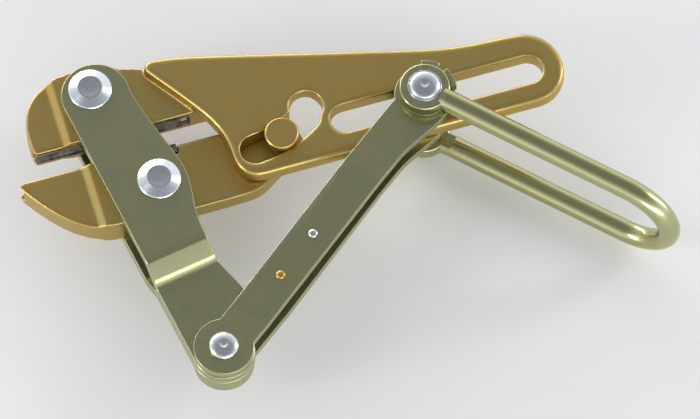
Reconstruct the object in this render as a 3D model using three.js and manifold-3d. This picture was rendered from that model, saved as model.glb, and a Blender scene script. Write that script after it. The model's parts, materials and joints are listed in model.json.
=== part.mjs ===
// Parallel-jaw pulling grip for wire rope, lying on its side as it rests on a bench.
// Millimetres. X runs along the rope, Y across it in the plane of the plates, Z up.
// Design coordinates: the upper pivot of the levers is (0, 0), and Z = 0 is the rope's plane.
// The finished group is moved so that its origin is the bottom centre of its box.
import * as THREE from "three";
import { mergeVertices } from "three/addons/utils/BufferGeometryUtils.js";
import Module from "manifold-3d";

const wasm = await Module();
wasm.setup();

// ---- Driving dimensions -------------------------------------------------------------

const GAP = 0.3; // air between pieces that touch
const FIT = 0.3; // clearance of a pin in its hole, on the radius
const QUARTER = Math.PI / 2;
const FAR = 60; // longer than any height here, for tools that cut right through

// Pivots of the linkage, in plan.
const UPPER_PIVOT = [0, 0];
const JAW_PIVOT = [23.7, -69.5]; // levers to lower jaw
const LINK_PIVOT = [30.9, -184.6]; // levers to links
const BAIL_PIVOT = [193.1, -63.2]; // links to bail; the pin runs in the long slot
const STUD = [102.9, -62.5]; // fixed in the lower jaw, runs in the guide slot
const BAIL_DIRECTION = THREE.MathUtils.degToRad(-45);

// Jaws. A lip is the face that an insert is let into.
// side is 1 where the insert goes up from its lip, and -1 where it goes down.
const UPPER_JAW = { lip: -28.5, side: 1, insertRight: 54, pinX: 51 };
const LOWER_JAW = { lip: -44.1, side: -1, insertRight: 41, pinX: 38 };
const NOSE_HALF = 8.5; // half thickness of the jaw noses
const PAD_HALF = 11.2; // and of the pads that the levers lie on
const BLOCK_HALF = 9.5; // and of the upper jaw's block right of the pads
const INSERT_HALF = 6.2;
const INSERT_DEEP = 5.2;
const INSERT_LEFT = -42;
const GROOVE_R = 8;
const GROOVE_AXIS = 6.2; // distance of the groove's axis outside the lip
const INSERT_PIN_R = 2.2;

// Slotted plate, in front of the rope's plane, and what follows from it.
const PLATE_BACK = 4.7;
const PLATE_FRONT = 17.3;
const PLATE_EDGE = 3; // rounding of its edges
const TONGUE_FRONT = PLATE_BACK - GAP;

// Levers: apart at the jaws, joggled inwards to lie together at the link pivot.
const LEVER_THICK = 6.5;
const LEVER_HIGH = PAD_HALF + GAP;
const LEVER_LOW = GAP / 2;
const JOGGLE_START = 117.3; // along the line from the upper pivot to the link pivot
const JOGGLE_END = 132.3;
const LEVER_TOP = LEVER_HIGH + LEVER_THICK;

// Links, one on each side: over the levers at one end, against the plate at the other.
const LINK_THICK = 5.5;
const LINK_EYE = LEVER_LOW + LEVER_THICK + GAP;
const LINK_SEAT_FRONT = PLATE_FRONT + GAP;
const LINK_SEAT_REAR = PLATE_BACK - GAP - LINK_THICK;
const LINK_WIDTH = 25.7;
const LINK_LOW_R = 18.3;
const LINK_TOP_R = 18.5;
const BUTTONS_ALONG = { plated: 57, steel: 89.5 }; // from the link pivot

// Bail: a round rod bent into a U, with an eye on each end.
const ROD_R = 6.8;
const LEG_Z = 30.3;
const BAIL_REACH = 175; // from the pin's axis to the outside of the bend
const EYE_R = 15.5;
const EYE_IN = 25.2;
const EYE_OUT = 34.8;
const WASHER_IN = EYE_IN - GAP - 1.5;
const PIN_HEAD = EYE_OUT + GAP;

// Slots in the plate.
const LONG_SLOT = { left: 143.4, right: 258.9, y: -61.8, r: 9.25 };
const GUIDE_HALF = 9.3;
const GUIDE_CENTRE = [STUD[0] - JAW_PIVOT[0], STUD[1] - JAW_PIVOT[1]];
const GUIDE_R = Math.hypot(...JAW_PIVOT); // the lower jaw swings on this radius, unturned
const GUIDE_BACK = THREE.MathUtils.degToRad(14); // slot beyond the stud, towards open
const GUIDE_FORWARD = THREE.MathUtils.degToRad(15); // and towards closed
const GUIDE_LOBE = { x: 122.6, y: -47.6, r: 10.4 };

// Turned pieces.
const RIVET_R = 7;
const SLEEVE_R = 9;
const LINK_RIVET_R = 6.5;
const BAIL_PIN_R = 6.9;
const STUD_R = 8;
const STUD_HEAD_R = 10.4;
const STUD_TAIL_R = 6;

// ---- Finishes -----------------------------------------------------------------------

const finish = (color, roughness, metalness) =>
  new THREE.MeshStandardMaterial({ color, roughness, metalness });
const goldPlating = () => finish(0x9c8344, 0.42, 0.9);
const palePlating = () => finish(0x8f9070, 0.36, 0.9);
const brightZinc = () => finish(0xc4c9cd, 0.25, 1);
const hardSteel = () => finish(0x4f4842, 0.45, 1);

// ---- Solids and booleans ------------------------------------------------------------

function solid(geometry) {
  const bare = geometry.index ? geometry.toNonIndexed() : geometry.clone();
  for (const name of ["normal", "uv"]) bare.deleteAttribute(name);
  const merged = mergeVertices(bare, 1e-4);
  const corners = merged.index.array;
  const triangles = [];
  for (let i = 0; i < corners.length; i += 3) {
    const [a, b, c] = corners.slice(i, i + 3);
    if (a !== b && b !== c && c !== a) triangles.push(a, b, c);
  }
  const mesh = new wasm.Mesh({
    numProp: 3,
    vertProperties: merged.attributes.position.array,
    triVerts: new Uint32Array(triangles),
  });
  return new wasm.Manifold(mesh);
}

function geometryOf(body) {
  const mesh = body.getMesh();
  const geometry = new THREE.BufferGeometry();
  geometry.setAttribute("position", new THREE.BufferAttribute(mesh.vertProperties, 3));
  geometry.setIndex(new THREE.BufferAttribute(mesh.triVerts, 1));
  return geometry;
}

const cut = (body, ...tools) => tools.reduce((left, tool) => left.subtract(tool), body);
const join = (first, ...others) => others.reduce((whole, body) => whole.add(body), first);

// A flat plate between two heights, its edges rounded by the given radius.
function plate(shape, low, high, { round = 0, segments = 8 } = {}) {
  const geometry = new THREE.ExtrudeGeometry(shape, {
    depth: high - low - 2 * round,
    bevelEnabled: round > 0,
    bevelThickness: round,
    bevelSize: round,
    bevelOffset: -round,
    bevelSegments: 3,
    curveSegments: segments,
  });
  return solid(geometry.translate(0, 0, low + round));
}

// A side profile of (distance, height) points, extruded across a direction in plan.
function across(points, origin, angle, halfWidth) {
  const shape = new THREE.Shape(points.map(([along, z]) => new THREE.Vector2(along, z)));
  const geometry = new THREE.ExtrudeGeometry(shape, {
    depth: 2 * halfWidth,
    bevelEnabled: false,
  });
  geometry.translate(0, 0, -halfWidth);
  geometry.rotateX(QUARTER);
  geometry.rotateZ(angle);
  geometry.translate(origin[0], origin[1], 0);
  return solid(geometry);
}

// A turned piece on a vertical axis: (radius, height) points from the bottom up.
function turned([x, y], points, sides = 24) {
  const profile = points.map(([radius, z]) => new THREE.Vector2(radius, z));
  return solid(new THREE.LatheGeometry(profile, sides).rotateX(QUARTER).translate(x, y, 0));
}

const post = (centre, radius, low = -FAR, high = FAR, sides = 24) =>
  turned(centre, [[0, low], [radius, low], [radius, high], [0, high]], sides);

const ring = (centre, inner, outer, low, high) =>
  cut(post(centre, outer, low, high), post(centre, inner));

// The same half profile at both ends of a shank, on heights of opposite sign.
function bothEnds(half) {
  const bottom = half.map(([radius, z]) => [radius, -z]);
  return [...bottom, ...[...half].reverse()];
}

const rearTwin = (body) => body.mirror([0, 0, 1]);

const nodes = new THREE.Group();

function addPiece(name, body, material) {
  const mesh = new THREE.Mesh(geometryOf(body), material);
  mesh.name = name;
  nodes.add(mesh);
}

// ---- Jaw inserts --------------------------------------------------------------------

function acrossJaw(shape, left, right, { lip, side }) {
  const geometry = new THREE.ExtrudeGeometry(shape, {
    depth: right - left,
    bevelEnabled: false,
    curveSegments: 6,
  });
  geometry.rotateY(QUARTER);
  if (side < 0) geometry.rotateX(Math.PI);
  return solid(geometry.translate(left, lip, 0));
}

function channelShape(halfWidth, deep, below) {
  const shape = new THREE.Shape();
  shape.moveTo(-halfWidth, -below);
  shape.lineTo(halfWidth, -below);
  shape.lineTo(halfWidth, deep);
  shape.lineTo(-halfWidth, deep);
  return shape;
}

const insertChannel = (jaw) =>
  acrossJaw(
    channelShape(INSERT_HALF + GAP, INSERT_DEEP + GAP, 4),
    INSERT_LEFT - 20,
    jaw.insertRight + GAP,
    jaw,
  );

function insertBar(jaw) {
  const right = jaw.insertRight;
  const bar = acrossJaw(channelShape(INSERT_HALF, INSERT_DEEP, 0), INSERT_LEFT, right, jaw);
  const groove = new THREE.Shape().absarc(0, -GROOVE_AXIS, GROOVE_R, 0, 2 * Math.PI, false);
  return cut(
    bar,
    acrossJaw(groove, INSERT_LEFT - 5, right + 5, jaw),
    insertPin(jaw, INSERT_PIN_R + GAP, -5, INSERT_DEEP + 5),
  );
}

// The pin that keeps an insert from sliding out, from the groove up into the jaw.
function insertPin({ lip, side, pinX }, radius, from, to) {
  const points = [[0, from], [radius, from], [radius, to], [0, to]];
  const profile = points.map(([r, height]) => new THREE.Vector2(r, height));
  const geometry = new THREE.LatheGeometry(profile, 16);
  if (side < 0) geometry.rotateX(Math.PI);
  return solid(geometry.translate(pinX, lip, 0));
}

const PIN_FROM = GROOVE_R - GROOVE_AXIS - 0.4;
const PIN_TO = 13;
const insertPinHole = (jaw) => insertPin(jaw, INSERT_PIN_R + GAP, 0, PIN_TO + GAP);

// ---- Body: upper jaw and slotted plate ----------------------------------------------

function upperJawShape() {
  const shape = new THREE.Shape();
  shape.moveTo(-40.4, UPPER_JAW.lip);
  shape.lineTo(100, UPPER_JAW.lip);
  shape.lineTo(100, -8);
  shape.lineTo(60, 2.5);
  shape.lineTo(36, 8.5);
  shape.bezierCurveTo(20, 13.5, 8, 17.7, -9, 17.7);
  shape.bezierCurveTo(-26, 17.7, -37, 9, -40.9, -0.8);
  shape.bezierCurveTo(-44, -8, -44.2, -18, -43.4, -25.5);
  shape.quadraticCurveTo(-43.1, UPPER_JAW.lip, -40.4, UPPER_JAW.lip);
  return shape;
}

const UPPER_PROFILE = [
  [-60, -NOSE_HALF],
  [-25, -NOSE_HALF],
  [-20, -PAD_HALF],
  [17, -PAD_HALF],
  [21, -BLOCK_HALF],
  [88, -BLOCK_HALF],
  [99, 0],
  [99, BLOCK_HALF],
  [21, BLOCK_HALF],
  [17, PAD_HALF],
  [-20, PAD_HALF],
  [-25, NOSE_HALF],
  [-60, NOSE_HALF],
];

function plateShape() {
  const shape = new THREE.Shape();
  shape.moveTo(86, -83.8);
  shape.lineTo(260, -83.8);
  shape.bezierCurveTo(272, -83.8, 281.1, -74, 281.1, -62);
  shape.bezierCurveTo(281.1, -48, 271, -36.5, 257, -36.5);
  shape.bezierCurveTo(238, -35, 226, -36, 199.8, -29.5);
  shape.lineTo(79.8, 1.8);
  shape.bezierCurveTo(66, 5.4, 54, 8.6, 41.1, 9.6);
  shape.absarc(40.5, 4.6, 5, 1.45, 3.75, false);
  shape.bezierCurveTo(42, -6.2, 54, -22, 62, -35);
  shape.bezierCurveTo(69, -47, 70.6, -54, 70.6, -66);
  shape.bezierCurveTo(70.6, -77, 77, -83.8, 86, -83.8);
  return shape;
}

function longSlotShape(grow) {
  const { left, right, y, r } = LONG_SLOT;
  const shape = new THREE.Shape();
  shape.absarc(right, y, r + grow, -QUARTER, QUARTER, false);
  shape.absarc(left, y, r + grow, QUARTER, 3 * QUARTER, false);
  return shape;
}

// Follows the stud's path; the open end widens into a lobe.
function guideSlotShape(grow) {
  const [cx, cy] = GUIDE_CENTRE;
  const rest = Math.atan2(JAW_PIVOT[1], JAW_PIVOT[0]);
  const start = rest - GUIDE_BACK;
  const end = rest + GUIDE_FORWARD;
  const half = GUIDE_HALF + grow;
  const onPath = (angle) => [cx + GUIDE_R * Math.cos(angle), cy + GUIDE_R * Math.sin(angle)];
  const shape = new THREE.Shape();
  shape.absarc(cx, cy, GUIDE_R + half, start, end, false);
  shape.absarc(...onPath(end), half, end, end + Math.PI, false);
  shape.absarc(cx, cy, GUIDE_R - half, end, start, true);
  shape.absarc(...onPath(start), half, start + Math.PI, start + 2 * Math.PI, false);
  return shape;
}

// An opening through the plate with an eased front rim.
function slotTool(shapeOf) {
  const ease = 1;
  const options = { segments: 6 };
  return join(
    plate(shapeOf(0), PLATE_BACK - 20, PLATE_FRONT + 5, options),
    plate(shapeOf(ease), PLATE_FRONT - ease / 2, PLATE_FRONT + 5, options),
  );
}

function fixedJawBody() {
  const block = plate(upperJawShape(), -FAR, FAR).intersect(across(UPPER_PROFILE, [0, 0], 0, 90));
  const slotted = plate(plateShape(), PLATE_BACK, PLATE_FRONT, { round: PLATE_EDGE, segments: 6 });
  const lobe = post([GUIDE_LOBE.x, GUIDE_LOBE.y], GUIDE_LOBE.r, PLATE_BACK - 20, FAR);
  return cut(
    join(block, slotted),
    slotTool(longSlotShape),
    slotTool(guideSlotShape),
    lobe,
    post(UPPER_PIVOT, SLEEVE_R + FIT),
    insertChannel(UPPER_JAW),
    insertPinHole(UPPER_JAW),
    ropeRelief(),
  );
}

// The rope runs on behind the plate, in a shallow hollow of its back face.
function ropeRelief() {
  const hollow = new THREE.CylinderGeometry(7.5, 7.5, 80, 24);
  return solid(hollow.rotateZ(QUARTER).translate(100, -36.5, 0));
}

// ---- Lower jaw and its stud ---------------------------------------------------------

const TONGUE_R = 13.7;

function lowerJawShape() {
  const [sx, sy] = STUD;
  const shape = new THREE.Shape();
  shape.moveTo(-54, LOWER_JAW.lip);
  shape.quadraticCurveTo(-58.6, LOWER_JAW.lip, -57.4, -48.4);
  shape.bezierCurveTo(-50, -60, -32, -88.5, -7.8, -88.5);
  shape.lineTo(72, -88);
  shape.bezierCurveTo(88, -88, 91, -80, 101, -76);
  shape.absarc(sx, sy, TONGUE_R, -QUARTER, 1.85, false);
  shape.lineTo(72, -45.2);
  shape.lineTo(66, LOWER_JAW.lip);
  return shape;
}

const LOWER_PROFILE = [
  [-70, -NOSE_HALF],
  [-19, -NOSE_HALF],
  [-14, -PAD_HALF],
  [34, -PAD_HALF],
  [38, -NOSE_HALF],
  [130, -NOSE_HALF],
  [130, TONGUE_FRONT],
  [40, TONGUE_FRONT],
  [34, PAD_HALF],
  [-14, PAD_HALF],
  [-19, NOSE_HALF],
  [-70, NOSE_HALF],
];

function lowerJaw() {
  const block = plate(lowerJawShape(), -FAR, FAR).intersect(across(LOWER_PROFILE, [0, 0], 0, 100));
  return cut(
    block,
    post(JAW_PIVOT, SLEEVE_R + FIT),
    post(STUD, STUD_TAIL_R + FIT),
    insertChannel(LOWER_JAW),
    insertPinHole(LOWER_JAW),
  );
}

function guideStud() {
  const back = -NOSE_HALF - GAP;
  const seat = PLATE_FRONT + GAP;
  return turned(STUD, [
    [0, back - 2.5],
    [7.5, back - 2.5],
    [8.5, back - 1.2],
    [8.5, back],
    [STUD_TAIL_R, back],
    [STUD_TAIL_R, TONGUE_FRONT + GAP],
    [STUD_R, TONGUE_FRONT + GAP],
    [STUD_R, seat],
    [STUD_HEAD_R, seat],
    [STUD_HEAD_R, seat + 3.8],
    [STUD_HEAD_R - 0.7, seat + 4.4],
    [0, seat + 4.4],
  ]);
}

// ---- Levers and their rivets --------------------------------------------------------

function leverShape() {
  const [lx, ly] = LINK_PIVOT;
  const shape = new THREE.Shape();
  const leftSide = THREE.MathUtils.degToRad(189);
  const foot = THREE.MathUtils.degToRad(10);
  shape.absarc(2.2, -4.3, 21, leftSide, 0, true);
  shape.bezierCurveTo(24.5, -20, 34, -42, 38.7, -58);
  shape.bezierCurveTo(42.5, -70, 41.5, -78, 39.9, -90);
  shape.bezierCurveTo(38.9, -98, 39.4, -112, 43.5, -125);
  shape.bezierCurveTo(47, -136, 56, -148, 56.1, -160.8);
  shape.bezierCurveTo(56.1, -168, 53, -176, lx + 18.5, ly + 3.3);
  shape.absarc(lx, ly, 18.8, foot, leftSide - 2 * Math.PI, true);
  return shape;
}

// Side profile of the front lever, along the line from the upper pivot to the link pivot.
function leverProfile() {
  const reach = 90;
  const start = JOGGLE_START;
  const end = JOGGLE_END;
  const slope = (LEVER_HIGH - LEVER_LOW) / (end - start);
  const shift = LEVER_THICK * (Math.hypot(1, slope) - 1) / slope; // keeps the thickness even
  return [
    [-reach, LEVER_HIGH],
    [start, LEVER_HIGH],
    [end, LEVER_LOW],
    [end + reach, LEVER_LOW],
    [end + reach, LEVER_LOW + LEVER_THICK],
    [end + shift, LEVER_LOW + LEVER_THICK],
    [start + shift, LEVER_TOP],
    [-reach, LEVER_TOP],
  ];
}

function frontLever() {
  const direction = Math.atan2(LINK_PIVOT[1], LINK_PIVOT[0]);
  const bent = across(leverProfile(), UPPER_PIVOT, direction, 70);
  return cut(
    plate(leverShape(), -2, LEVER_TOP + 2).intersect(bent),
    post(UPPER_PIVOT, RIVET_R + FIT),
    post(JAW_PIVOT, RIVET_R + FIT),
    post(LINK_PIVOT, LINK_RIVET_R + FIT),
  );
}

// Two flat-topped cone heads on one shank.
function coneRivet(centre) {
  const seat = LEVER_TOP + GAP;
  const head = [
    [0, seat + 4.2],
    [7.3, seat + 4.2],
    [12.9, seat + 0.9],
    [13.3, seat],
    [RIVET_R, seat],
  ];
  return turned(centre, bothEnds(head));
}

const pivotSleeve = (centre) => ring(centre, RIVET_R + FIT, SLEEVE_R, -PAD_HALF, PAD_HALF);

// A domed head with a dimple in its middle, standing on a seat.
function domedHead(shank, radius, seat, height) {
  return [
    [0, seat + height * 0.8],
    [radius * 0.2, seat + height * 0.82],
    [radius * 0.33, seat + height],
    [radius * 0.6, seat + height * 0.84],
    [radius * 0.84, seat + height * 0.5],
    [radius, seat],
    [shank, seat],
  ];
}

const linkRivet = () =>
  turned(LINK_PIVOT, bothEnds(domedHead(LINK_RIVET_R, 9, LINK_EYE + LINK_THICK + GAP, 4)));

// ---- Links --------------------------------------------------------------------------

const LINK_LENGTH = Math.hypot(BAIL_PIVOT[0] - LINK_PIVOT[0], BAIL_PIVOT[1] - LINK_PIVOT[1]);
const LINK_DIRECTION = Math.atan2(
  BAIL_PIVOT[1] - LINK_PIVOT[1],
  BAIL_PIVOT[0] - LINK_PIVOT[0],
);

const alongLink = (distance) => [
  LINK_PIVOT[0] + distance * Math.cos(LINK_DIRECTION),
  LINK_PIVOT[1] + distance * Math.sin(LINK_DIRECTION),
];

// Drawn along its own length from the link pivot.
function linkShape() {
  const half = LINK_WIDTH / 2;
  const end = LINK_LENGTH;
  const neck = Math.asin(half / LINK_LOW_R);
  const flare = QUARTER + 0.15;
  const shape = new THREE.Shape();
  shape.absarc(0, 0, LINK_LOW_R, neck, 2 * Math.PI - neck, false);
  shape.lineTo(end - 44, -half);
  shape.bezierCurveTo(
    end - 30,
    -half,
    end - 20,
    -LINK_TOP_R + 1,
    end + LINK_TOP_R * Math.cos(flare),
    -LINK_TOP_R * Math.sin(flare),
  );
  shape.absarc(end, 0, LINK_TOP_R, -flare, Math.PI - neck, false);
  return shape;
}

// Lower face of a link: flat at both eyes and inclined between them.
function linkProfile(eye, seat, flatTo) {
  const lower = [
    [-40, eye],
    [flatTo, eye],
    [140, seat],
    [260, seat],
  ];
  const upper = lower.map(([along, z]) => [along, z + LINK_THICK]);
  return [...lower, ...upper.reverse()];
}

const FRONT_FLAT_TO = 26;
const REAR_FLAT_TO = 48; // clears the corner of the rear lever

function linkPlate(profile) {
  const blank = new THREE.ExtrudeGeometry(linkShape(), {
    depth: 2 * FAR,
    bevelEnabled: false,
    curveSegments: 8,
  });
  blank.rotateZ(LINK_DIRECTION);
  blank.translate(LINK_PIVOT[0], LINK_PIVOT[1], -FAR);
  return cut(
    solid(blank).intersect(across(profile, LINK_PIVOT, LINK_DIRECTION, 40)),
    post(LINK_PIVOT, LINK_RIVET_R + FIT),
    post(BAIL_PIVOT, BAIL_PIN_R + FIT),
  );
}

const frontLinkFace = (along) =>
  LINK_EYE +
  LINK_THICK +
  ((along - FRONT_FLAT_TO) * (LINK_SEAT_FRONT - LINK_EYE)) / (140 - FRONT_FLAT_TO);

function frontLink() {
  const holes = Object.values(BUTTONS_ALONG).map((along) =>
    post(alongLink(along), 1.7 + GAP, frontLinkFace(along) - 4, FAR, 16),
  );
  return cut(linkPlate(linkProfile(LINK_EYE, LINK_SEAT_FRONT, FRONT_FLAT_TO)), ...holes);
}

const rearLink = () =>
  linkPlate(linkProfile(-LINK_EYE - LINK_THICK, LINK_SEAT_REAR, REAR_FLAT_TO));

function linkButton(along) {
  const face = frontLinkFace(along) + 0.6;
  const points = [
    [0, face - 4],
    [1.7, face - 4],
    [1.7, face],
    [2.9, face],
    [2.5, face + 0.8],
    [1.5, face + 1.3],
    [0, face + 1.5],
  ];
  return turned(alongLink(along), points, 16);
}

// ---- Bail, its pin and what is on the pin -------------------------------------------

// Centre line of the rod, in the bail's own plane: out, round the bend and back.
class BailLine extends THREE.Curve {
  getPoint(t, target = new THREE.Vector3()) {
    const start = 12;
    const bendAt = BAIL_REACH - ROD_R - LEG_Z;
    const straight = bendAt - start;
    const turn = Math.PI * LEG_Z;
    const travelled = t * (2 * straight + turn);
    if (travelled <= straight) return target.set(start + travelled, 0, LEG_Z);
    if (travelled >= straight + turn) {
      return target.set(start + 2 * straight + turn - travelled, 0, -LEG_Z);
    }
    const angle = (travelled - straight) / LEG_Z;
    return target.set(bendAt + LEG_Z * Math.sin(angle), 0, LEG_Z * Math.cos(angle));
  }
}

function bail() {
  const section = new THREE.Shape().absarc(0, 0, ROD_R, 0, 2 * Math.PI, false);
  const rod = new THREE.ExtrudeGeometry(section, {
    steps: 36,
    curveSegments: 6,
    bevelEnabled: false,
    extrudePath: new BailLine(),
  });
  rod.rotateZ(BAIL_DIRECTION);
  rod.translate(BAIL_PIVOT[0], BAIL_PIVOT[1], 0);
  const chamfer = 1.6;
  const eye = turned(BAIL_PIVOT, [
    [0, EYE_IN],
    [EYE_R, EYE_IN],
    [EYE_R, EYE_OUT - chamfer],
    [EYE_R - chamfer, EYE_OUT],
    [0, EYE_OUT],
  ]);
  return cut(
    join(solid(rod), eye, rearTwin(eye)),
    post(BAIL_PIVOT, EYE_R + 5, -EYE_IN, EYE_IN),
    post(BAIL_PIVOT, BAIL_PIN_R + FIT),
  );
}

function bailPin() {
  const flange = 0.9;
  const head = [
    ...domedHead(9.6, 9.2, PIN_HEAD + flange, 3.4).slice(0, -1),
    [10.2, PIN_HEAD + flange],
    [10.4, PIN_HEAD],
    [BAIL_PIN_R, PIN_HEAD],
  ];
  return turned(BAIL_PIVOT, bothEnds(head));
}

// A washer with two tabs turned up beside the bail's eye.
const TABS = [
  [-8, 30],
  [45, 80],
];

function tabSector([from, to], inner, outer, low, high) {
  const [x, y] = BAIL_PIVOT;
  const a = THREE.MathUtils.degToRad(from);
  const b = THREE.MathUtils.degToRad(to);
  const shape = new THREE.Shape();
  shape.absarc(x, y, outer, a, b, false);
  shape.absarc(x, y, inner, b, a, true);
  return plate(shape, low, high, { segments: 5 });
}

function tabWasher() {
  const base = ring(BAIL_PIVOT, BAIL_PIN_R + FIT, 15, WASHER_IN, EYE_IN - GAP);
  const tabs = TABS.flatMap((sector) => [
    tabSector(sector, 13, 19.5, WASHER_IN, EYE_IN - GAP),
    tabSector(sector, 16.2, 19.5, WASHER_IN, 31),
  ]);
  return join(base, ...tabs);
}

const rearSpacer = () =>
  ring(BAIL_PIVOT, BAIL_PIN_R + FIT, 12, -EYE_IN + GAP, LINK_SEAT_REAR - GAP);

// ---- Assembly -----------------------------------------------------------------------

addPiece("fixed_jaw_body", fixedJawBody(), goldPlating());
addPiece("upper_jaw_insert", insertBar(UPPER_JAW), hardSteel());
addPiece("upper_insert_pin", insertPin(UPPER_JAW, INSERT_PIN_R, PIN_FROM, PIN_TO), brightZinc());
addPiece("lower_jaw", lowerJaw(), goldPlating());
addPiece("lower_jaw_insert", insertBar(LOWER_JAW), hardSteel());
addPiece("lower_insert_pin", insertPin(LOWER_JAW, INSERT_PIN_R, PIN_FROM, PIN_TO), brightZinc());
addPiece("guide_stud", guideStud(), goldPlating());
addPiece("front_lever", frontLever(), palePlating());
addPiece("rear_lever", rearTwin(frontLever()), palePlating());
addPiece("upper_pivot_rivet", coneRivet(UPPER_PIVOT), brightZinc());
addPiece("upper_pivot_sleeve", pivotSleeve(UPPER_PIVOT), brightZinc());
addPiece("jaw_pivot_rivet", coneRivet(JAW_PIVOT), brightZinc());
addPiece("jaw_pivot_sleeve", pivotSleeve(JAW_PIVOT), brightZinc());
addPiece("link_pivot_rivet", linkRivet(), brightZinc());
addPiece("front_link", frontLink(), palePlating());
addPiece("rear_link", rearLink(), palePlating());
addPiece("link_button_plated", linkButton(BUTTONS_ALONG.plated), goldPlating());
addPiece("link_button_steel", linkButton(BUTTONS_ALONG.steel), brightZinc());
addPiece("bail", bail(), palePlating());
addPiece("bail_pin", bailPin(), brightZinc());
addPiece("tab_washer", tabWasher(), palePlating());
addPiece("rear_spacer", rearSpacer(), palePlating());

// Origin at the bottom centre of the whole at rest.
const box = new THREE.Box3().setFromObject(nodes);
const middle = box.getCenter(new THREE.Vector3());
nodes.position.set(-middle.x, -middle.y, -box.min.z);

export default nodes;
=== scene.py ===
# Studio scene of a parallel-jaw wire rope grip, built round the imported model.
import json
import math

import bmesh
import bpy
from mathutils import Matrix, Vector

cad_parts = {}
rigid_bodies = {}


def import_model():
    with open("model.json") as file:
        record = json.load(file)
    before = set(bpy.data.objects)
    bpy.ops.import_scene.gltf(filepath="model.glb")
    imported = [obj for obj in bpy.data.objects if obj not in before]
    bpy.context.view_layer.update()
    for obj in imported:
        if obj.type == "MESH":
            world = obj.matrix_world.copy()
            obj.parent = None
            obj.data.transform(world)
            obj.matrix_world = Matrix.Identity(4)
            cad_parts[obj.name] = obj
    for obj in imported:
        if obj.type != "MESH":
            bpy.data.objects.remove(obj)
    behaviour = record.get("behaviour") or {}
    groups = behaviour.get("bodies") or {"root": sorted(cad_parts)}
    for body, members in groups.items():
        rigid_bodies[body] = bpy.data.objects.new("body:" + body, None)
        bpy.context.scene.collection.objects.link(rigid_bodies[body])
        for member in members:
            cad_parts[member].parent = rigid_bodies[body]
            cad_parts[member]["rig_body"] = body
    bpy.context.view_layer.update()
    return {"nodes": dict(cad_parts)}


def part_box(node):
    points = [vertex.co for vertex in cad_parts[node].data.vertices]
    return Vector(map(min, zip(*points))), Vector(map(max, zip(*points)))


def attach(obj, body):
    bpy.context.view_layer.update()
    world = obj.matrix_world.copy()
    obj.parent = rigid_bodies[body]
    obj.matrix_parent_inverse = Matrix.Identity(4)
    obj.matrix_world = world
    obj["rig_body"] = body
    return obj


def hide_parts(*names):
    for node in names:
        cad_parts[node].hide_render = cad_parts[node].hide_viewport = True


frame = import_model()

MM = 0.001

# Design coordinates, in millimetres: the levers' upper pivot is (0, 0), Z = 0 is the rope's plane.
PIVOT_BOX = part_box("upper_pivot_rivet")
DESIGN_ORIGIN = (PIVOT_BOX[0] + PIVOT_BOX[1]) / 2

# Pivots of the linkage, in plan.
UPPER_PIVOT = (0, 0)
JAW_PIVOT = (23.7, -69.5)
LINK_PIVOT = (30.9, -184.6)
BAIL_PIVOT = (193.1, -63.2)
STUD = (102.9, -62.5)
BAIL_DIRECTION = math.radians(-45)

# Levers: apart at the jaws, joggled inwards to lie together at the link pivot.
GAP = 0.3  # air between pieces that touch
LEVER_THICK = 6.5
LEVER_HIGH = 11.5
LEVER_LOW = GAP / 2
LEVER_TOP = LEVER_HIGH + LEVER_THICK
LEVER_FOOT_R = 18.8
JOGGLE_START = 117.3  # along the line from the upper pivot to the link pivot
JOGGLE_END = 132.3

# Links: over the levers at one end, against the slotted plate at the other.
PLATE_BACK = 4.7
PLATE_FRONT = 17.3
LINK_THICK = 5.5
LINK_WIDTH = 25.7
LINK_LOW_R = 18.3
LINK_TOP_R = 18.5
LINK_EYE = LEVER_LOW + LEVER_THICK + GAP
LINK_SEAT_FRONT = PLATE_FRONT + GAP
LINK_SEAT_REAR = PLATE_BACK - GAP - LINK_THICK
FRONT_FLAT_TO = 26  # a link's lower eye is flat this far from its pivot
REAR_FLAT_TO = 48
SEAT_FROM = 140  # and its upper end from here on
BUTTONS_ALONG = {"plated": 57, "steel": 89.5}

# Bail, and what its pin carries.
ROD_R = 6.8
LEG_Z = 30.3
BAIL_REACH = 175  # from the pin's axis to the outside of the bend
EYE_R = 15.5
EYE_IN = 25.2
EYE_OUT = 34.8
WASHER_THICK = 1.5
WASHER_IN = EYE_IN - GAP - WASHER_THICK
WASHER_R = 15
TAB_IN = 16.2
TAB_OUT = 19.5
TAB_TOP = 31
SPACER_R = 12

# Shanks and the holes that they turn in.
RIVET_R = 7
RIVET_HOLE = 7.3
LINK_RIVET_R = 6.5
LINK_RIVET_HOLE = 6.8
BAIL_PIN_R = 6.9
BAIL_PIN_HOLE = 7.2

# Softening of the forgings' edges.
FORGING_VOXEL = 0.8
FORGING_PASSES = 7


def plan(x, y, z=0.0):
    """A design point as a place in the scene."""
    return DESIGN_ORIGIN + Vector((x, y, z)) * MM


# ---- Meshes -----------------------------------------------------------------------


def new_object(name, mesh):
    obj = bpy.data.objects.new(name, mesh)
    bpy.context.scene.collection.objects.link(obj)
    return obj


def baked(obj):
    """obj's mesh with its modifiers applied, as a new mesh."""
    bpy.context.view_layer.update()
    graph = bpy.context.evaluated_depsgraph_get()
    return bpy.data.meshes.new_from_object(obj.evaluated_get(graph))


def apply_modifiers(obj):
    mesh = baked(obj)
    obj.modifiers.clear()
    obj.data = mesh
    return obj


def shade(obj, angle):
    """Smooth faces, with edges sharper than the angle kept crisp."""
    mesh = obj.data
    mesh.polygons.foreach_set("use_smooth", [True] * len(mesh.polygons))
    mesh.set_sharp_from_angle(angle=math.radians(angle))
    if not any(modifier.type == "WEIGHTED_NORMAL" for modifier in obj.modifiers):
        weighted = obj.modifiers.new("face weights", "WEIGHTED_NORMAL")
        weighted.keep_sharp = True
    return obj


def stands_for(obj, node):
    """obj replaces a CAD node and rides on its body."""
    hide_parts(node)
    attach(obj, frame["nodes"][node]["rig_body"])
    return obj


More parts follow.
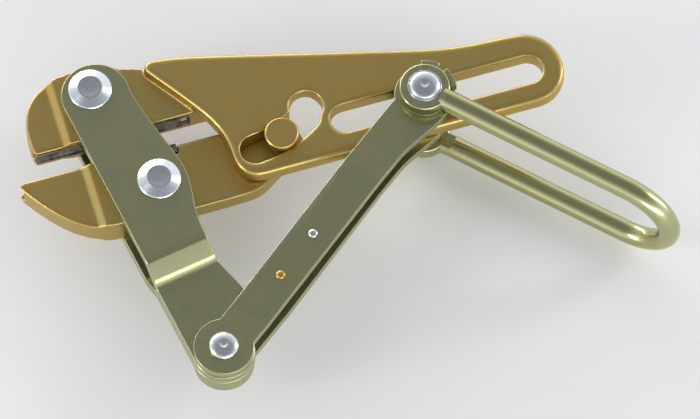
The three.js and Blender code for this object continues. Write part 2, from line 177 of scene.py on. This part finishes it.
def turned(name, centre, profile, sides=72):
    """A turned piece on a vertical axis: (radius, height) points from the bottom up."""
    mesh = bpy.data.meshes.new(name)
    shape = bmesh.new()
    rings = []
    for radius, z in profile:
        if radius < 1e-6:
            rings.append([shape.verts.new(plan(*centre, z))])
            continue
        ring = []
        for i in range(sides):
            angle = 2 * math.pi * i / sides
            x = centre[0] + radius * math.cos(angle)
            y = centre[1] + radius * math.sin(angle)
            ring.append(shape.verts.new(plan(x, y, z)))
        rings.append(ring)
    closed = rings if len(rings[0]) == 1 else [*rings, rings[0]]
    for low, high in zip(closed, closed[1:]):
        for i in range(sides):
            j = (i + 1) % sides
            corners = [low[i % len(low)], low[j % len(low)], high[j % len(high)], high[i % len(high)]]
            shape.faces.new(list(dict.fromkeys(corners)))
    bmesh.ops.recalc_face_normals(shape, faces=shape.faces)
    shape.to_mesh(mesh)
    shape.free()
    return shade(new_object(name, mesh), 28)


def arc_points(centre, radius, start, end, count=16):
    """Points on an arc, angles in degrees."""
    found = []
    for i in range(count + 1):
        angle = math.radians(start + (end - start) * i / count)
        found.append((centre[0] + radius * math.cos(angle), centre[1] + radius * math.sin(angle)))
    return found


def round_hole(centre, radius):
    return arc_points(centre, radius, 0, 350, 35)


def bezier_points(a, b, c, d, count=14):
    """Points on a cubic curve, its first point left out."""
    found = []
    for i in range(1, count + 1):
        t = i / count
        weights = ((1 - t) ** 3, 3 * t * (1 - t) ** 2, 3 * t * t * (1 - t), t**3)
        found.append(tuple(sum(w * p[k] for w, p in zip(weights, (a, b, c, d))) for k in (0, 1)))
    return found


def sheet_metal(name, outline, holes, thick, edge=0.8, rings=3):
    """A flat plate with eased edges, from z = 0 to z = thick, in design millimetres."""
    data = bpy.data.curves.new(name, "CURVE")
    data.dimensions = "2D"
    data.fill_mode = "BOTH"
    data.extrude = thick / 2 - edge
    data.bevel_depth = edge
    data.bevel_resolution = rings
    data.offset = -edge
    for points in [outline, *holes]:
        spline = data.splines.new("POLY")
        spline.points.add(len(points) - 1)
        for place, (x, y) in zip(spline.points, points):
            place.co = (x, y, 0, 1)
        spline.use_cyclic_u = True
    curve = new_object(name, data)
    mesh = baked(curve)
    bpy.data.objects.remove(curve)
    shape = bmesh.new()
    shape.from_mesh(mesh)
    bmesh.ops.remove_doubles(shape, verts=shape.verts, dist=1e-3)
    bmesh.ops.translate(shape, verts=shape.verts, vec=(0, 0, thick / 2))
    return shape


def slice_along(shape, origin, direction, distances):
    """Cuts the plate across a direction, so that it can bend there."""
    step = Vector((math.cos(direction), math.sin(direction), 0))
    for distance in distances:
        place = Vector((*origin, 0)) + step * distance
        everything = [*shape.verts, *shape.edges, *shape.faces]
        bmesh.ops.bisect_plane(shape, geom=everything, plane_co=place, plane_no=step, dist=1e-4)


def bend_heights(stations, soften):
    """Height and slope of a plate that is straight between stations, with rounded bends."""

    def straight(s):
        if s <= stations[0][0]:
            return stations[0][1]
        for (a, low), (b, high) in zip(stations, stations[1:]):
            if s <= b:
                return low + (high - low) * (s - a) / (b - a)
        return stations[-1][1]

    def height(s):
        count = 9
        offsets = [soften * (2 * i / (count - 1) - 1) for i in range(count)]
        return sum(straight(s + offset) for offset in offsets) / count

    def slope(s):
        return (height(s + 0.2) - height(s - 0.2)) / 0.4

    return height, slope


def bent_plate(name, shape, origin, direction, stations, soften):
    """The plate follows the stations' heights along a direction, keeping its thickness."""
    marks = set()
    for s, _ in stations:
        marks.update(round(s + soften * k / 3, 3) for k in range(-4, 5))
    slice_along(shape, origin, direction, sorted(marks))
    height, slope = bend_heights(stations, soften)
    step = Vector((math.cos(direction), math.sin(direction), 0))
    for vert in shape.verts:
        s = (vert.co - Vector((*origin, 0))).dot(step)
        thickness = vert.co.z
        tilt = math.atan(slope(s))
        vert.co.z = height(s) + thickness / math.cos(tilt)
    return placed(name, shape)


def placed(name, shape):
    """A mesh in design millimetres becomes an object in the scene."""
    bmesh.ops.recalc_face_normals(shape, faces=shape.faces)
    shape.transform(Matrix.Translation(DESIGN_ORIGIN) @ Matrix.Scale(MM, 4))
    mesh = bpy.data.meshes.new(name)
    shape.to_mesh(mesh)
    shape.free()
    return shade(new_object(name, mesh), 30)


def mirrored(name, source):
    """The same piece on the other side of the rope's plane."""
    shape = bmesh.new()
    shape.from_mesh(source.data)
    centre = DESIGN_ORIGIN.z
    for vert in shape.verts:
        vert.co.z = 2 * centre - vert.co.z
    bmesh.ops.reverse_faces(shape, faces=shape.faces)
    mesh = bpy.data.meshes.new(name)
    shape.to_mesh(mesh)
    shape.free()
    return shade(new_object(name, mesh), 30)


def forged(name, node):
    """A copy of a CAD solid with its edges and corners softened as a forging's are."""
    obj = new_object(name, frame["nodes"][node].data.copy())
    obj.data.materials.clear()
    remesh = obj.modifiers.new("even", "REMESH")
    remesh.mode = "VOXEL"
    remesh.voxel_size = FORGING_VOXEL * MM
    smooth = obj.modifiers.new("soften", "SMOOTH")
    smooth.factor = 0.5
    smooth.iterations = FORGING_PASSES
    apply_modifiers(obj)
    return shade(obj, 60)


# ---- Shared shader effects ----------------------------------------------------------


class Group:
    """A shader node group with named sockets, filled in step by step."""

    def __init__(self, name, inputs, outputs):
        self.tree = bpy.data.node_groups.new(name, "ShaderNodeTree")
        for label, kind, value in inputs:
            socket = self.tree.interface.new_socket(label, in_out="INPUT", socket_type=kind)
            socket.default_value = value
        for label, kind in outputs:
            self.tree.interface.new_socket(label, in_out="OUTPUT", socket_type=kind)
        self.source = self.tree.nodes.new("NodeGroupInput")
        self.result = self.tree.nodes.new("NodeGroupOutput")

    def read(self, label):
        return self.source.outputs[label]

    def put(self, label, socket):
        self.tree.links.new(socket, self.result.inputs[label])


def feed(tree, socket, value):
    """Sets a socket to a value, or links it to another socket."""
    if isinstance(value, bpy.types.NodeSocket):
        tree.links.new(value, socket)
    else:
        socket.default_value = value


def noise(tree, place, scale, detail=4.0, roughness=0.55, distortion=0.0):
    node = tree.nodes.new("ShaderNodeTexNoise")
    feed(tree, node.inputs["Vector"], place)
    feed(tree, node.inputs["Scale"], scale)
    node.inputs["Detail"].default_value = detail
    node.inputs["Roughness"].default_value = roughness
    node.inputs["Distortion"].default_value = distortion
    return node.outputs["Fac"]


def ramp(tree, value, low, high):
    """0 below low, 1 above high, smooth between."""
    node = tree.nodes.new("ShaderNodeMapRange")
    node.interpolation_type = "SMOOTHSTEP"
    feed(tree, node.inputs["Value"], value)
    feed(tree, node.inputs["From Min"], low)
    feed(tree, node.inputs["From Max"], high)
    return node.outputs["Result"]


def math_node(tree, operation, a, b=0.0):
    node = tree.nodes.new("ShaderNodeMath")
    node.operation = operation
    feed(tree, node.inputs[0], a)
    feed(tree, node.inputs[1], b)
    return node.outputs[0]


def mix_colour(tree, share, a, b):
    node = tree.nodes.new("ShaderNodeMix")
    node.data_type = "RGBA"
    feed(tree, node.inputs["Factor"], share)
    feed(tree, node.inputs["A"], a)
    feed(tree, node.inputs["B"], b)
    return node.outputs["Result"]


def coordinates(tree):
    return tree.nodes.new("ShaderNodeTexCoord").outputs["Object"]


def tone_group():
    """Chromate over zinc: patches of a warmer and a cooler tone over the base."""
    group = Group(
        "plating_tone",
        [
            ("Base", "NodeSocketColor", (0.5, 0.4, 0.2, 1)),
            ("Warm", "NodeSocketColor", (0.6, 0.4, 0.15, 1)),
            ("Cool", "NodeSocketColor", (0.45, 0.48, 0.3, 1)),
            ("Patch Scale", "NodeSocketFloat", 30.0),
            ("Strength", "NodeSocketFloat", 0.5),
        ],
        [("Color", "NodeSocketColor")],
    )
    tree = group.tree
    place = coordinates(tree)
    warm = ramp(tree, noise(tree, place, group.read("Patch Scale"), 5, 0.6, 0.4), 0.42, 0.68)
    finer = math_node(tree, "MULTIPLY", group.read("Patch Scale"), 3.7)
    cool = ramp(tree, noise(tree, place, finer, 4, 0.6), 0.45, 0.7)
    warm = math_node(tree, "MULTIPLY", warm, group.read("Strength"))
    cool = math_node(tree, "MULTIPLY", cool, group.read("Strength"))
    toned = mix_colour(tree, warm, group.read("Base"), group.read("Warm"))
    group.put("Color", mix_colour(tree, cool, toned, group.read("Cool")))
    return group.tree


def grain_group():
    """The skin of shot-blasted and plated steel: a soft swell, a fine tooth and small pits."""
    group = Group(
        "blasted_grain",
        [
            ("Swell Scale", "NodeSocketFloat", 90.0),
            ("Tooth Scale", "NodeSocketFloat", 1300.0),
            ("Swell", "NodeSocketFloat", 0.5),
            ("Pits", "NodeSocketFloat", 0.4),
        ],
        [("Height", "NodeSocketFloat"), ("Tooth", "NodeSocketFloat")],
    )
    tree = group.tree
    place = coordinates(tree)
    swell = noise(tree, place, group.read("Swell Scale"), 3, 0.5)
    tooth = noise(tree, place, group.read("Tooth Scale"), 3, 0.6)
    pit_scale = math_node(tree, "MULTIPLY", group.read("Tooth Scale"), 0.28)
    pits = ramp(tree, noise(tree, place, pit_scale, 2, 0.5), 0.66, 0.74)
    height = math_node(tree, "MULTIPLY", swell, group.read("Swell"))
    height = math_node(tree, "ADD", height, math_node(tree, "MULTIPLY", tooth, 0.12))
    dents = math_node(tree, "MULTIPLY", pits, group.read("Pits"))
    dents = math_node(tree, "MULTIPLY", dents, 0.15)
    group.put("Height", math_node(tree, "SUBTRACT", height, dents))
    group.put("Tooth", tooth)
    return group.tree


def wear_group():
    """Where handling has rubbed the plating thin: raised edges, broken up by noise."""
    group = Group(
        "edge_wear",
        [("Reach", "NodeSocketFloat", 0.5), ("Breakup Scale", "NodeSocketFloat", 160.0)],
        [("Mask", "NodeSocketFloat")],
    )
    tree = group.tree
    raised = tree.nodes.new("ShaderNodeNewGeometry").outputs["Pointiness"]
    worn = ramp(tree, raised, 0.52, 0.6)
    broken = ramp(tree, noise(tree, coordinates(tree), group.read("Breakup Scale"), 5, 0.65), 0.38, 0.62)
    mask = math_node(tree, "MULTIPLY", worn, broken)
    group.put("Mask", math_node(tree, "MULTIPLY", mask, group.read("Reach")))
    return group.tree


GROUPS = {"tone": tone_group(), "grain": grain_group(), "wear": wear_group()}


def placed_group(tree, kind, **values):
    node = tree.nodes.new("ShaderNodeGroup")
    node.node_tree = GROUPS[kind]
    for label, value in values.items():
        feed(tree, node.inputs[label.replace("_", " ")], value)
    return node.outputs


def plated_steel(name, tones, worn, roughness, grain, patch=(30.0, 0.5), wear=0.6, bump=0.3):
    """Plated steel: tone patches, worn edges, and a blasted skin in bump and gloss."""
    base, warm, cool = tones
    material = bpy.data.materials.new(name)
    material.use_nodes = True
    tree = material.node_tree
    surface = tree.nodes["Principled BSDF"]
    tone = placed_group(
        tree, "tone", Base=base, Warm=warm, Cool=cool, Patch_Scale=patch[0], Strength=patch[1]
    )
    skin = placed_group(
        tree, "grain", Swell_Scale=grain[0], Tooth_Scale=grain[1], Swell=grain[2], Pits=grain[3]
    )
    mask = placed_group(tree, "wear", Reach=wear)["Mask"]
    tree.links.new(mix_colour(tree, mask, tone["Color"], worn), surface.inputs["Base Color"])
    low, high = roughness
    spread = tree.nodes.new("ShaderNodeMapRange")
    tree.links.new(skin["Tooth"], spread.inputs["Value"])
    spread.inputs["From Min"].default_value = 0.3
    spread.inputs["From Max"].default_value = 0.7
    spread.inputs["To Min"].default_value = low
    spread.inputs["To Max"].default_value = high
    tree.links.new(spread.outputs["Result"], surface.inputs["Roughness"])
    surface.inputs["Metallic"].default_value = 1.0
    relief = tree.nodes.new("ShaderNodeBump")
    relief.inputs["Strength"].default_value = bump
    relief.inputs["Distance"].default_value = 0.4 * MM
    tree.links.new(skin["Height"], relief.inputs["Height"])
    tree.links.new(relief.outputs["Normal"], surface.inputs["Normal"])
    return material


def make_materials():
    return {
        "gold_plating": plated_steel(
            "gold_chromate_on_forging",
            ((0.52, 0.37, 0.12, 1), (0.58, 0.36, 0.10, 1), (0.44, 0.42, 0.17, 1)),
            (0.62, 0.52, 0.26, 1),
            (0.30, 0.46),
            (110.0, 1500.0, 0.7, 0.6),
        ),
        "pale_plating": plated_steel(
            "pale_chromate_on_plate",
            ((0.42, 0.42, 0.24, 1), (0.46, 0.42, 0.22, 1), (0.36, 0.40, 0.26, 1)),
            (0.58, 0.58, 0.44, 1),
            (0.24, 0.40),
            (90.0, 1900.0, 0.35, 0.5),
        ),
        "rod_plating": plated_steel(
            "pale_chromate_on_rod",
            ((0.46, 0.46, 0.24, 1), (0.50, 0.46, 0.22, 1), (0.40, 0.44, 0.26, 1)),
            (0.58, 0.58, 0.44, 1),
            (0.16, 0.28),
            (140.0, 1600.0, 0.25, 0.3),
            bump=0.18,
        ),
        "bright_zinc": plated_steel(
            "bright_zinc_on_rivets",
            ((0.66, 0.69, 0.73, 1), (0.70, 0.70, 0.66, 1), (0.56, 0.62, 0.72, 1)),
            (0.8, 0.81, 0.83, 1),
            (0.18, 0.32),
            (200.0, 1700.0, 0.3, 0.6),
            wear=0.3,
        ),
        "insert_steel": plated_steel(
            "dark_hardened_steel",
            ((0.12, 0.10, 0.09, 1), (0.17, 0.13, 0.09, 1), (0.08, 0.08, 0.09, 1)),
            (0.42, 0.39, 0.35, 1),
            (0.30, 0.5),
            (180.0, 1500.0, 0.4, 0.5),
            wear=0.8,
        ),
    }


MATERIALS = make_materials()


def dress(obj, finish):
    obj.data.materials.clear()
    obj.data.materials.append(MATERIALS[finish])
    return obj


# ---- Levers -------------------------------------------------------------------------


def lever_outline():
    lx, ly = LINK_PIVOT
    points = arc_points((2.2, -4.3), 21, 189, 0, 44)
    for a, b, c in [
        ((24.5, -20), (34, -42), (38.7, -58)),
        ((42.5, -70), (41.5, -78), (39.9, -90)),
        ((38.9, -98), (39.4, -112), (43.5, -125)),
        ((47, -136), (56, -148), (56.1, -160.8)),
        ((56.1, -168), (53, -176), (lx + 18.5, ly + 3.3)),
    ]:
        points += bezier_points(points[-1], a, b, c)
    points += arc_points(LINK_PIVOT, LEVER_FOOT_R, 10, -171, 40)[1:]
    return points


def lever_plate():
    holes = [
        round_hole(UPPER_PIVOT, RIVET_HOLE),
        round_hole(JAW_PIVOT, RIVET_HOLE),
        round_hole(LINK_PIVOT, LINK_RIVET_HOLE),
    ]
    shape = sheet_metal("front_lever_plate", lever_outline(), holes, LEVER_THICK)
    direction = math.atan2(LINK_PIVOT[1], LINK_PIVOT[0])
    stations = [(-90, LEVER_HIGH), (JOGGLE_START, LEVER_HIGH), (JOGGLE_END, LEVER_LOW), (260, LEVER_LOW)]
    return bent_plate("front_lever_plate", shape, UPPER_PIVOT, direction, stations, 2.6)


def make_levers():
    front = dress(stands_for(lever_plate(), "front_lever"), "pale_plating")
    rear = stands_for(mirrored("rear_lever_plate", front), "rear_lever")
    dress(rear, "pale_plating")


# ---- Links --------------------------------------------------------------------------

LINK_LENGTH = math.dist(LINK_PIVOT, BAIL_PIVOT)
LINK_DIRECTION = math.atan2(BAIL_PIVOT[1] - LINK_PIVOT[1], BAIL_PIVOT[0] - LINK_PIVOT[0])


def link_outline():
    """Drawn along its own length, then turned into place."""
    half = LINK_WIDTH / 2
    end = LINK_LENGTH
    neck = math.degrees(math.asin(half / LINK_LOW_R))
    flare = 98.6
    points = arc_points((0, 0), LINK_LOW_R, neck, 360 - neck, 48)
    points.append((end - 44, -half))
    head = arc_points((end, 0), LINK_TOP_R, -flare, 180 - neck, 44)
    points += bezier_points(points[-1], (end - 30, -half), (end - 20, -LINK_TOP_R + 1), head[0])
    points += head[1:]
    turn = Matrix.Rotation(LINK_DIRECTION, 2)
    return [tuple(turn @ Vector(p) + Vector(LINK_PIVOT)) for p in points]


def link_plate(name, eye, seat, flat_to):
    holes = [round_hole(LINK_PIVOT, LINK_RIVET_HOLE), round_hole(BAIL_PIVOT, BAIL_PIN_HOLE)]
    shape = sheet_metal(name, link_outline(), holes, LINK_THICK, edge=0.6)
    stations = [(-60, eye), (flat_to, eye), (SEAT_FROM, seat), (280, seat)]
    return bent_plate(name, shape, LINK_PIVOT, LINK_DIRECTION, stations, 1.6)


def link_face(along):
    """Height of the front link's outer face."""
    share = (along - FRONT_FLAT_TO) / (SEAT_FROM - FRONT_FLAT_TO)
    return LINK_EYE + LINK_THICK + share * (LINK_SEAT_FRONT - LINK_EYE)


def link_button(name, node, along, finish):
    face = link_face(along) + 0.25
    centre = [
        LINK_PIVOT[0] + along * math.cos(LINK_DIRECTION),
        LINK_PIVOT[1] + along * math.sin(LINK_DIRECTION),
    ]
    radius = 2.9
    rise = 1.5
    seat = face - 0.35
    angles = [k * math.pi / 16 for k in range(8)]
    dome = [(radius * math.cos(angle), face + rise * math.sin(angle)) for angle in angles]
    profile = [(0, face - 3), (1.6, face - 3), (1.6, seat), (radius, seat), *dome, (0, face + rise)]
    button = turned(name, centre, profile, 40)
    dress(stands_for(button, node), finish)


def make_links():
    front = link_plate("front_link_bar", LINK_EYE, LINK_SEAT_FRONT, FRONT_FLAT_TO)
    dress(stands_for(front, "front_link"), "pale_plating")
    rear = link_plate("rear_link_bar", -LINK_EYE - LINK_THICK, LINK_SEAT_REAR, REAR_FLAT_TO)
    dress(stands_for(rear, "rear_link"), "pale_plating")
    link_button("plated_button", "link_button_plated", BUTTONS_ALONG["plated"], "gold_plating")
    link_button("steel_button", "link_button_steel", BUTTONS_ALONG["steel"], "bright_zinc")


# ---- Rivets, pins and stud ------------------------------------------------------------


def rounded(points, radius=0.4, steps=4):
    """A profile with each inner corner eased by a small round."""
    out = [points[0]]
    for before, corner, after in zip(points, points[1:], points[2:]):
        a, b, c = Vector(before), Vector(corner), Vector(after)
        reach = min(radius, (a - b).length * 0.45, (c - b).length * 0.45)
        start = b + (a - b).normalized() * reach
        end = b + (c - b).normalized() * reach
        for k in range(steps + 1):
            t = k / steps
            out.append(tuple(start * (1 - t) ** 2 + b * 2 * t * (1 - t) + end * t * t))
    out.append(points[-1])
    return out


def both_ends(half):
    """The same half profile at both ends of a shank."""
    return [(r, -z) for r, z in half] + list(reversed(half))


def cone_rivet(name, node, centre):
    seat = LEVER_TOP + GAP
    head = [(0, seat + 3.7), (4.2, seat + 3.9), (7.1, seat + 4.2), (7.6, seat + 4.0)]
    head += [(12.9, seat + 0.9), (13.3, seat + 0.4), (13.3, seat), (RIVET_R, seat)]
    rivet = turned(name, centre, both_ends(rounded(head, 0.5)))
    dress(stands_for(rivet, node), "bright_zinc")


def domed_head(radius, seat, height, shank):
    dome = []
    for k in range(15):
        angle = math.radians(90 - 6.2 * k)
        dome.append((radius * math.cos(angle), seat + 0.35 + (height - 0.35) * math.sin(angle)))
    dimple = [(0, seat + height * 0.76), (radius * 0.14, seat + height * 0.8)]
    shoulder = [point for point in dome if point[0] > radius * 0.27]
    return [*dimple, *shoulder, (radius, seat), (shank, seat)]


def make_fasteners():
    cone_rivet("upper_rivet", "upper_pivot_rivet", UPPER_PIVOT)
    cone_rivet("jaw_rivet", "jaw_pivot_rivet", JAW_PIVOT)
    seat = LINK_EYE + LINK_THICK + GAP
    rivet = turned("link_rivet", LINK_PIVOT, both_ends(rounded(domed_head(9, seat, 4, LINK_RIVET_R), 0.3)))
    dress(stands_for(rivet, "link_pivot_rivet"), "bright_zinc")
    seat = EYE_OUT + GAP
    head = [*domed_head(9.2, seat + 0.9, 3.4, 9.2)[:-1], (10.2, seat + 0.9), (10.4, seat + 0.5)]
    head += [(10.4, seat), (BAIL_PIN_R, seat)]
    pin = turned("bail_pin_headed", BAIL_PIVOT, both_ends(rounded(head, 0.25)))
    dress(stands_for(pin, "bail_pin"), "bright_zinc")
    make_stud()
    low = GAP - EYE_IN
    high = LINK_SEAT_REAR - GAP
    spacer = [(BAIL_PIN_HOLE, low), (SPACER_R, low), (SPACER_R, high), (BAIL_PIN_HOLE, high)]
    tube = turned("spacer_tube", BAIL_PIVOT, spacer)
    dress(stands_for(tube, "rear_spacer"), "pale_plating")


def make_stud():
    seat = PLATE_FRONT + GAP
    profile = [(0, -11.3), (7.5, -11.3), (8.5, -10), (8.5, -8.8), (6, -8.8), (6, 4.7), (8, 4.7)]
    profile += [(8, seat), (10.2, seat), (10.4, seat + 0.3), (10.4, seat + 3.6), (9.5, seat + 4.4)]
    profile += [(0, seat + 4.4)]
    stud = turned("stud_headed", STUD, rounded(profile, 0.35))
    dress(stands_for(stud, "guide_stud"), "gold_plating")


# ---- Bail and tab washer --------------------------------------------------------------


def bail_line(t):
    """The rod's centre line in the bail's own plane: out, round the bend and back."""
    start = 12
    bend_at = BAIL_REACH - ROD_R - LEG_Z
    straight = bend_at - start
    turn = math.pi * LEG_Z
    travelled = t * (2 * straight + turn)
    if travelled <= straight:
        return start + travelled, LEG_Z
    if travelled >= straight + turn:
        return start + 2 * straight + turn - travelled, -LEG_Z
    angle = (travelled - straight) / LEG_Z
    return bend_at + LEG_Z * math.sin(angle), LEG_Z * math.cos(angle)


def rod_mesh(steps=150, sides=40):
    shape = bmesh.new()
    rings = []
    side_axis = Vector((-math.sin(BAIL_DIRECTION), math.cos(BAIL_DIRECTION), 0))
    out_axis = Vector((math.cos(BAIL_DIRECTION), math.sin(BAIL_DIRECTION), 0))
    base = Vector((*BAIL_PIVOT, 0))
    for i in range(steps + 1):
        t = i / steps
        along, z = bail_line(t)
        ahead = bail_line(min(1, t + 1e-3))
        behind = bail_line(max(0, t - 1e-3))
        tangent = (out_axis * (ahead[0] - behind[0]) + Vector((0, 0, ahead[1] - behind[1]))).normalized()
        normal = tangent.cross(side_axis)
        centre = base + out_axis * along + Vector((0, 0, z))
        ring = []
        for k in range(sides):
            angle = 2 * math.pi * k / sides
            offset = side_axis * math.cos(angle) + normal * math.sin(angle)
            ring.append(shape.verts.new(centre + offset * ROD_R))
        rings.append(ring)
    for low, high in zip(rings, rings[1:]):
        for k in range(sides):
            m = (k + 1) % sides
            shape.faces.new([low[k], low[m], high[m], high[k]])
    shape.faces.new(rings[0])
    shape.faces.new(rings[-1])
    return shape


def drum(radius, low, high):
    """The profile of a plain cylinder."""
    return [(0, low), (radius, low), (radius, high), (0, high)]


def boolean(obj, tool, operation):
    cutter = obj.modifiers.new("cut", "BOOLEAN")
    cutter.operation = operation
    cutter.solver = "EXACT"
    cutter.object = tool
    apply_modifiers(obj)
    bpy.data.objects.remove(tool)
    return obj


def make_bail():
    rod = placed("bail_rod", rod_mesh())
    between_eyes = drum(EYE_R + 5, -EYE_IN, EYE_IN)
    boolean(rod, turned("between_eyes", BAIL_PIVOT, between_eyes), "DIFFERENCE")
    for side in (1, -1):
        low, high = sorted((side * EYE_IN, side * EYE_OUT))
        eye = turned("eye", BAIL_PIVOT, rounded(drum(EYE_R, low, high), 1.6))
        boolean(rod, eye, "UNION")
    boolean(rod, turned("bore", BAIL_PIVOT, drum(BAIL_PIN_HOLE, -60, 60)), "DIFFERENCE")
    ease = rod.modifiers.new("ease", "BEVEL")
    ease.width = 0.5 * MM
    ease.segments = 2
    ease.limit_method = "ANGLE"
    ease.angle_limit = math.radians(40)
    apply_modifiers(rod)
    shade(rod, 40)
    dress(stands_for(rod, "bail"), "rod_plating")


TABS = ((-8, 30), (45, 80))  # where the two tabs stand, in degrees round the pin


def tab_outline(start, end, inner, outer):
    return arc_points(BAIL_PIVOT, outer, start, end, 10) + arc_points(BAIL_PIVOT, inner, end, start, 10)


def lifted(shape, z):
    bmesh.ops.translate(shape, verts=shape.verts, vec=(0, 0, z))
    return shape


def make_tab_washer():
    hole = arc_points(BAIL_PIVOT, BAIL_PIN_HOLE, 0, 354, 59)
    rim = arc_points(BAIL_PIVOT, WASHER_R, 0, 355, 71)
    disc = sheet_metal("disc", rim, [hole], WASHER_THICK, 0.3, 2)
    washer = placed("tabbed_washer", lifted(disc, WASHER_IN))
    for start, end in TABS:
        foot = sheet_metal("foot", tab_outline(start, end, 13, TAB_OUT), [], WASHER_THICK, 0.3, 2)
        boolean(washer, placed("foot", lifted(foot, WASHER_IN)), "UNION")
        tab = sheet_metal("tab", tab_outline(start, end, TAB_IN, TAB_OUT), [], TAB_TOP - WASHER_IN, 0.6, 3)
        boolean(washer, placed("tab", lifted(tab, WASHER_IN)), "UNION")
    shade(washer, 30)
    dress(stands_for(washer, "tab_washer"), "pale_plating")


# ---- Forged jaws and what stays as it is --------------------------------------------


def make_jaws():
    for name, node in (("forged_body", "fixed_jaw_body"), ("forged_lower_jaw", "lower_jaw")):
        dress(stands_for(forged(name, node), node), "gold_plating")


def dress_cad_nodes():
    finishes = {
        "upper_jaw_insert": "insert_steel",
        "lower_jaw_insert": "insert_steel",
        "upper_insert_pin": "bright_zinc",
        "lower_insert_pin": "bright_zinc",
        "upper_pivot_sleeve": "bright_zinc",
        "jaw_pivot_sleeve": "bright_zinc",
    }
    for node, finish in finishes.items():
        dress(frame["nodes"][node], finish)


make_jaws()
make_levers()
make_links()
make_fasteners()
make_bail()
make_tab_washer()
dress_cad_nodes()

# ---- Studio -------------------------------------------------------------------------


FLOOR_SIZE = 40.0
FLOOR_DROP = 0.2 * MM  # keeps the floor just clear of what stands on it


def make_floor():
    bpy.ops.mesh.primitive_plane_add(size=FLOOR_SIZE, location=(0, 0, -FLOOR_DROP))
    floor = bpy.context.object
    floor.name = "studio_floor"
    material = bpy.data.materials.new("pale_floor")
    material.use_nodes = True
    surface = material.node_tree.nodes["Principled BSDF"]
    surface.inputs["Base Color"].default_value = (0.86, 0.86, 0.86, 1)
    surface.inputs["Roughness"].default_value = 0.7
    floor.data.materials.append(material)


def softbox(name, place, target, size, watts):
    light = bpy.data.lights.new(name, "AREA")
    light.shape = "RECTANGLE"
    light.size, light.size_y = size
    light.energy = watts
    obj = bpy.data.objects.new(name, light)
    bpy.context.scene.collection.objects.link(obj)
    obj.location = place
    obj.rotation_euler = (Vector(target) - Vector(place)).to_track_quat("-Z", "Y").to_euler()
    obj.visible_camera = False


def make_lights():
    softbox("back_softbox", (-0.5, 2.2, 0.55), (0, 0, 0), (2.6, 0.5), 30)
    softbox("left_softbox", (-2.2, -0.2, 0.5), (0, 0, 0), (0.5, 1.8), 22)
    softbox("right_softbox", (2.2, 0.1, 0.5), (0, 0, 0), (0.5, 1.8), 20)
    softbox("front_softbox", (0.2, -2.2, 0.6), (0, 0, 0), (2.2, 0.5), 20)
    make_world()


WORLD_SIDE = (1.25, 1.27, 1.3)
WORLD_TOP = (0.30, 0.31, 0.32)


def make_world():
    """A room that is dim overhead and bright all round at the height of the bench."""
    world = bpy.data.worlds.new("studio")
    world.use_nodes = True
    tree = world.node_tree
    direction = tree.nodes.new("ShaderNodeTexCoord").outputs["Generated"]
    height = tree.nodes.new("ShaderNodeSeparateXYZ")
    tree.links.new(direction, height.inputs["Vector"])
    shade_of = tree.nodes.new("ShaderNodeValToRGB")
    tree.links.new(height.outputs["Z"], shade_of.inputs["Fac"])
    stops = shade_of.color_ramp.elements
    stops[0].position, stops[0].color = 0.25, (*WORLD_SIDE, 1)
    stops[1].position, stops[1].color = 0.85, (*WORLD_TOP, 1)
    tree.links.new(shade_of.outputs["Color"], tree.nodes["Background"].inputs["Color"])
    tree.nodes["Background"].inputs["Strength"].default_value = 1.0
    bpy.context.scene.world = world


FRAME_WIDTH = 424 * MM  # width of the view at the rope's plane
CAMERA_DISTANCE = 6.0
CAMERA_TURN = math.radians(16.5)
CAMERA_ELEVATION = math.radians(65)
LOOK_AT = plan(130.9, -113.8)


def make_camera():
    data = bpy.data.cameras.new("camera")
    data.sensor_width = 36
    data.lens = data.sensor_width * CAMERA_DISTANCE / FRAME_WIDTH
    camera = bpy.data.objects.new("camera", data)
    bpy.context.scene.collection.objects.link(camera)
    right = Vector((math.cos(CAMERA_TURN), -math.sin(CAMERA_TURN), 0))
    away = Vector((math.sin(CAMERA_TURN), math.cos(CAMERA_TURN), 0))
    up = away * math.sin(CAMERA_ELEVATION) + Vector((0, 0, math.cos(CAMERA_ELEVATION)))
    back = right.cross(up)
    axes = Matrix((right, up, back)).transposed().to_4x4()
    camera.matrix_world = Matrix.Translation(LOOK_AT + back * CAMERA_DISTANCE) @ axes
    bpy.context.scene.camera = camera


make_floor()
make_lights()
make_camera()
bpy.context.scene.view_settings.view_transform = "Standard"
